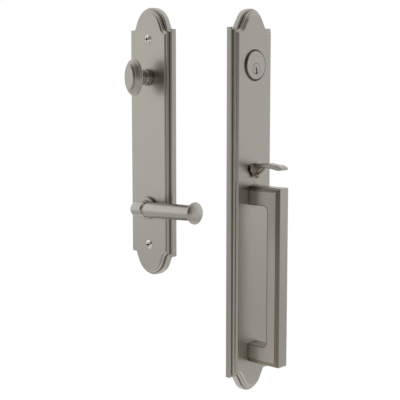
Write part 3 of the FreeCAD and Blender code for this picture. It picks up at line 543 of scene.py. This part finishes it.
def arched_tongue(place):
    """Raise the tongue's back in the middle and ease it down towards its tip."""
    along = (place.y - TONGUE_ROOT) / (TONGUE_TIP - TONGUE_ROOT)
    rise = place.z - THUMB_AXIS_Z
    if along < ARCH_START or rise < TONGUE_FLOOR:
        return place
    above_foot = between_zero_and_one((rise - ARCH_FADE_FOOT) / ARCH_FADE_HEIGHT)
    share = above_foot * min(along / ARCH_FADE_ALONG, 1.0)
    ease = between_zero_and_one((along - TIP_START) / TIP_RUN)
    arch = ARCH_HEIGHT * math.exp(-((along - ARCH_MIDDLE) / ARCH_SPREAD) ** 2)
    drop = TIP_DROP * ease * ease * (3.0 - 2.0 * ease)
    return Vector((place.x, place.y, place.z + share * (arch - drop)))


def clear_of_plate(place):
    """Hold the casting's back off the plate's face for when the thumbpiece is pressed right down."""
    rise = place.z - THUMB_AXIS_Z
    limit = (PLATE_FRONT + rise * math.sin(PRESS_ANGLE)) / math.cos(PRESS_ANGLE)
    pressed_z = THUMB_AXIS_Z + place.y * math.sin(PRESS_ANGLE) + rise * math.cos(PRESS_ANGLE)
    beside_slot = abs(place.x) > SLOT_HALF_WIDTH or pressed_z < SLOT_FOOT
    if beside_slot and limit < place.y < limit + HOLD_OFF_BAND:
        return Vector((place.x, limit, place.z))
    return place


def tumbled_thumbpiece(name):
    """A copy of the thumbpiece with its strut filled and all of its edges worn round by tumbling."""
    piece = soft_copy("thumbpiece", name, 0.0)
    bpy.ops.mesh.primitive_uv_sphere_add(segments=32, ring_count=16, radius=1.0, location=STRUT_PLACE)
    strut = bpy.context.active_object
    strut.scale = STRUT_SIZE
    strut.rotation_euler = (STRUT_TILT, 0.0, 0.0)
    piece.select_set(True)
    bpy.context.view_layer.objects.active = piece
    bpy.ops.object.join()
    skin = piece.modifiers.new("skin", "REMESH")
    skin.mode = "VOXEL"
    skin.voxel_size = THUMB_SKIN
    bpy.ops.object.modifier_apply(modifier="skin")
    smooth = piece.modifiers.new("tumbled", "SMOOTH")
    smooth.factor = 0.5
    smooth.iterations = TUMBLE_PASSES
    bpy.ops.object.modifier_apply(modifier="tumbled")
    for vertex in piece.data.vertices:
        vertex.co = clear_of_plate(arched_tongue(vertex.co))
    bpy.ops.object.shade_smooth()
    return piece


def under_arm(place):
    """Whether a place lies under the thumbpiece's arm, where shade is painted."""
    return place.y > ARM_FRONT and place.z < ARM_TOP


def behind_shield(place):
    """Whether a place lies on the thumbpiece's shield, close to the plate."""
    return place.y > SHIELD_FRONT


thumbpiece = tumbled_thumbpiece("thumbpiece_tumbled")
# Painted shade under the arm and on the shield next to the plate, tinted brown.
add_painted_light(thumbpiece, ARM_UNDERSIDE_SHADE, under_arm)
add_painted_light(thumbpiece, SHIELD_SHADE, behind_shield)
dress(thumbpiece, satin_nickel, "thumb", "satin_nickel", "thumbpiece")


# The pull grip: one heavy zinc casting with square corners and a stepped border on each side.
# Wear has tipped the border's steps into sloping chamfers, with brown shade painted on them.
# A thin painted shadow line runs round the hand opening.
GRIP_EDGE_ROUND = 0.0004
GRIP_STEPS = ((0.0070, 0.0026), (0.00815, 0.0052))
GRIP_STEP_SLOPE = 0.0006
GRIP_ROUND = 0.0001
GRIP_HALF_WIDTH = 0.0093
GRIP_LINE = 0.0013
GRIP_BAR_DEPTH = 0.0175
GRIP_POST_HEIGHT = 0.0218
BORDER_START = 0.00705
BORDER_END = 0.00925
BORDER_SHADE = 0.62
RIDGE_START = 0.00765
RIDGE_END = 0.0081
RIDGE_SHADE = 0.3
TOP_BORDER_SHADE = 0.4
LINE_INSIDE = 0.003
LINE_SHADE = 0.55

grip_low, grip_high = (Vector(corner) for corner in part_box("pull_grip"))


def sloped_border(place):
    """Tip the grip's two border steps outwards, as worn flat chamfers with a fine line between."""
    for half_width, inset in GRIP_STEPS:
        inside_front = place.y > grip_low.y + inset - GRIP_ROUND
        inside_height = grip_low.z + inset - GRIP_ROUND < place.z < grip_high.z - inset + GRIP_ROUND
        if abs(abs(place.x) - half_width) < GRIP_ROUND and inside_front and inside_height:
            return Vector((place.x + math.copysign(GRIP_STEP_SLOPE, place.x), place.y, place.z))
    return place


def on_grip_side(place):
    """Whether a place lies on one of the grip's two flat sides."""
    return abs(place.x) > GRIP_HALF_WIDTH - GRIP_ROUND


def on_border(place):
    """Whether a place lies on the sloping border of either side."""
    return BORDER_START < abs(place.x) < BORDER_END


def on_border_ridge(place):
    """Whether a place lies on the fine line between the border's two chamfers."""
    return RIDGE_START < abs(place.x) < RIDGE_END


def on_top_border(place):
    """Whether a place lies on the border above the grip's side."""
    return on_border(place) and place.z > grip_high.z - GRIP_STEPS[1][1]


def in_grip_opening(place, margin):
    """Whether a place on the grip's side lies in the hand opening, made wider all round by a margin."""
    behind_bar = place.y > grip_low.y + GRIP_BAR_DEPTH - margin
    foot = grip_low.z + GRIP_POST_HEIGHT - margin
    head = grip_high.z - GRIP_POST_HEIGHT + margin
    return behind_bar and foot < place.z < head and abs(place.x) > GRIP_HALF_WIDTH - GRIP_LINE


def round_grip_opening(place):
    """Whether a place lies on the thin line round the hand opening."""
    return in_grip_opening(place, GRIP_LINE) and not in_grip_opening(place, -LINE_INSIDE)


grip = soft_copy(
    "pull_grip", "pull_grip_polished", GRIP_EDGE_ROUND, segments=3, angle=24.0, smooth=30.0,
    reshape=sloped_border, framed=(GRIP_LINE, on_grip_side),
)
# Painted shade on the border, less of it on the ridge between its chamfers and on the top border, and a
# painted shadow line round the hand opening.
add_painted_light(grip, BORDER_SHADE, on_border)
add_painted_light(grip, RIDGE_SHADE, on_border_ridge)
add_painted_light(grip, TOP_BORDER_SHADE, on_top_border)
add_painted_light(grip, LINE_SHADE, round_grip_opening)
dress(grip, satin_nickel, "trims", "satin_nickel", "pull_grip")


# The deadbolt turn: an oval cast knob on a round turned bush.
# Its face steps down in rings like a picture frame.
KNOB_EDGE_ROUND = 0.00018
BUSH_EDGE_ROUND = 0.0003

turn_knob = soft_copy("thumbturn_knob", "turn_knob_polished", KNOB_EDGE_ROUND)
dress(turn_knob, satin_nickel, "turn", "satin_nickel", "thumbturn_knob")
turn_collar = soft_copy("thumbturn_collar", "turn_collar_polished", BUSH_EDGE_ROUND)
dress(turn_collar, satin_nickel, "trims", "plated_brass", "thumbturn_collar")


# The lever: a turned bar with a flared end on a round hub, and the bush that carries it.
# It was turned and polished on a lathe before it was plated; shade is painted on its flare and in the
# groove at its end, and its dome is painted lighter as a highlight.
# The outline below runs outwards from the hub: how far out each ring lies, and its radius, in mm.
LEVER_ORIGIN = Vector((-0.1598, 0.0146, -0.0833))
LEVER_TILT = math.radians(2.3)
LEVER_ALONG = Vector((0.0, -math.cos(LEVER_TILT), math.sin(LEVER_TILT)))
LEVER_CUT = 0.0134
LEVER_EDGE_ROUND = 0.0002
SHANK_PROFILE = (
    (13.2, 6.55), (15.2, 6.6), (15.5, 6.75), (16.2, 7.7), (16.7, 7.95), (81.3, 8.2),
    (81.9, 8.6), (83.1, 10.0), (83.5, 10.8), (83.9, 11.2), (84.4, 11.35), (84.9, 11.2),
    (85.3, 10.8), (85.4, 10.3), (85.6, 10.0), (85.9, 9.8), (86.3, 9.0), (86.75, 7.6),
    (87.15, 5.6), (87.45, 3.2), (87.55, 1.2), (87.6, 0.3),
)
SHANK_FACETS = 96
SHANK_CREASE = math.radians(50.0)
SHANK_PAINTED_LIGHT = ((81.35, 83.4, 0.45), (85.32, 85.7, 0.15), (85.9, 88.0, -0.3))


def turned_shank(name):
    """The lever's shank with its flared, beaded and domed end, turned loop by loop from a circle."""
    deselect_all()
    first_place, first_radius = SHANK_PROFILE[0]
    bpy.ops.mesh.primitive_circle_add(vertices=SHANK_FACETS, radius=first_radius / 1000, fill_type="NGON")
    piece = bpy.context.active_object
    piece.name = name
    bpy.ops.object.mode_set(mode="EDIT")
    bpy.ops.mesh.select_all(action="SELECT")
    place, radius = first_place, first_radius
    for next_place, next_radius in SHANK_PROFILE[1:]:
        step = (0.0, 0.0, (next_place - place) / 1000)
        bpy.ops.mesh.extrude_region_move(TRANSFORM_OT_translate={"value": step})
        share = next_radius / radius
        bpy.ops.transform.resize(value=(share, share, 1.0), center_override=(0.0, 0.0, 0.0))
        place, radius = next_place, next_radius
    bpy.ops.mesh.select_all(action="SELECT")
    bpy.ops.mesh.normals_make_consistent(inside=False)
    bpy.ops.object.mode_set(mode="OBJECT")
    piece.rotation_euler = (math.pi / 2 - LEVER_TILT, 0.0, 0.0)
    piece.location = LEVER_ORIGIN + LEVER_ALONG * first_place / 1000
    bpy.ops.object.transform_apply(location=True, rotation=True, scale=True)
    bpy.ops.object.shade_smooth_by_angle(angle=SHANK_CREASE)
    return piece


def cut_shank_off(piece):
    """Cut a copy of the lever through its groove and keep the hub's side."""
    cut_place = LEVER_ORIGIN + LEVER_ALONG * LEVER_CUT
    bpy.ops.object.mode_set(mode="EDIT")
    bpy.ops.mesh.select_all(action="SELECT")
    bpy.ops.mesh.bisect(plane_co=cut_place, plane_no=LEVER_ALONG, use_fill=True, clear_outer=True)
    bpy.ops.object.mode_set(mode="OBJECT")


def along_lever(place):
    """How far out a place lies along the lever's axis, in millimetres."""
    return (place - LEVER_ORIGIN).dot(LEVER_ALONG) * 1000


lever_nickel = plated("lever_nickel", (0.475, 0.452, 0.405), 0.3, depth=0.2)
lever = soft_copy("lever_handle", "lever_polished", LEVER_EDGE_ROUND)
cut_shank_off(lever)
dress(lever, lever_nickel, "lever", "satin_nickel", "lever_handle")
shank = turned_shank("lever_shank_polished")
# Painted shade on the flare and in the groove behind the bead, and the dome painted lighter for its
# highlight.
for start, end, amount in SHANK_PAINTED_LIGHT:
    add_painted_light(shank, amount, lambda place: start < along_lever(place) < end)
dress(shank, lever_nickel, "lever", "satin_nickel")
lever_collar = soft_copy("lever_collar", "lever_collar_polished", BUSH_EDGE_ROUND)
dress(lever_collar, satin_nickel, "trims", "plated_brass", "lever_collar")


# The two plate screws: oval heads with a cross recess, nickel plated and left bright.
# Dark shade is painted into the crosses.
SCREW_EDGE_ROUND = 0.00015
SCREW_HEAD_RADIUS = 0.0049
SCREW_RECESS_RADIUS = 0.00295
SCREW_RECESS_START = 0.0005
SCREW_RECESS_END = 0.005
SCREW_RECESS_SHADE = 0.97

screws_low, screws_high = (Vector(corner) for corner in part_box("plate_screws"))


def in_screw_recess(place):
    """Whether a place lies in the cross recess of either screw."""
    middle_y = (screws_low.y + screws_high.y) / 2
    sunk = screws_low.x + SCREW_RECESS_START < place.x < screws_low.x + SCREW_RECESS_END
    for middle_z in (screws_low.z + SCREW_HEAD_RADIUS, screws_high.z - SCREW_HEAD_RADIUS):
        if sunk and math.hypot(place.y - middle_y, place.z - middle_z) < SCREW_RECESS_RADIUS:
            return True
    return False


bright_nickel = plated("bright_nickel", (0.78, 0.76, 0.72), 0.16, change=0.03, depth=0.1, tone=0.03)
plate_screws = soft_copy("plate_screws", "plate_screws_bright", SCREW_EDGE_ROUND)
# Painted shade in the two cross recesses.
add_painted_light(plate_screws, SCREW_RECESS_SHADE, in_screw_recess)
dress(plate_screws, bright_nickel, "trims", "bright_screw", "plate_screws")


# Everything behind the plates: stamped steel, turned brass and spring wire, left as they come.
# None of it is polished, because the door hides it.
plain_steel = plated("zinc_plated_steel", (0.56, 0.57, 0.58), 0.38, change=0.1, depth=0.4, tone=0.12)
plain_brass = plated("turned_brass", (0.72, 0.52, 0.24), 0.34, change=0.08, depth=0.4, tone=0.1)
spring_steel = plated("spring_steel", (0.42, 0.42, 0.43), 0.3, depth=0.2, tone=0.08)
HIDDEN_PIECES = (
    (plain_brass, (
        "cylinder_ring_nut", "key_pins", "driver_pins",
    )),
    (plain_steel, (
        "cylinder_tailpiece", "thumbpiece_pin", "thumbpiece_bracket", "bracket_screws", "lift_slide",
        "grip_screws", "mounting_posts", "thumbturn_spindle", "lever_spindle", "spring_cage",
        "spring_driver", "spring_cage_cover", "cage_screws",
    )),
    (spring_steel, (
        "pin_springs", "plug_clip", "thumbturn_clip", "thumbturn_washer", "lever_set_screw",
        "lever_clip", "lever_return_spring",
    )),
)
for finish, hidden_nodes in HIDDEN_PIECES:
    for node in hidden_nodes:
        for slot in nodes[node].material_slots:
            slot.material = finish


lift_spring = soft_copy("lift_slide_spring", "lift_spring_wound", 0.0)
dress(lift_spring, spring_steel, "trims", "steel", "lift_slide_spring")
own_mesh(lift_spring)
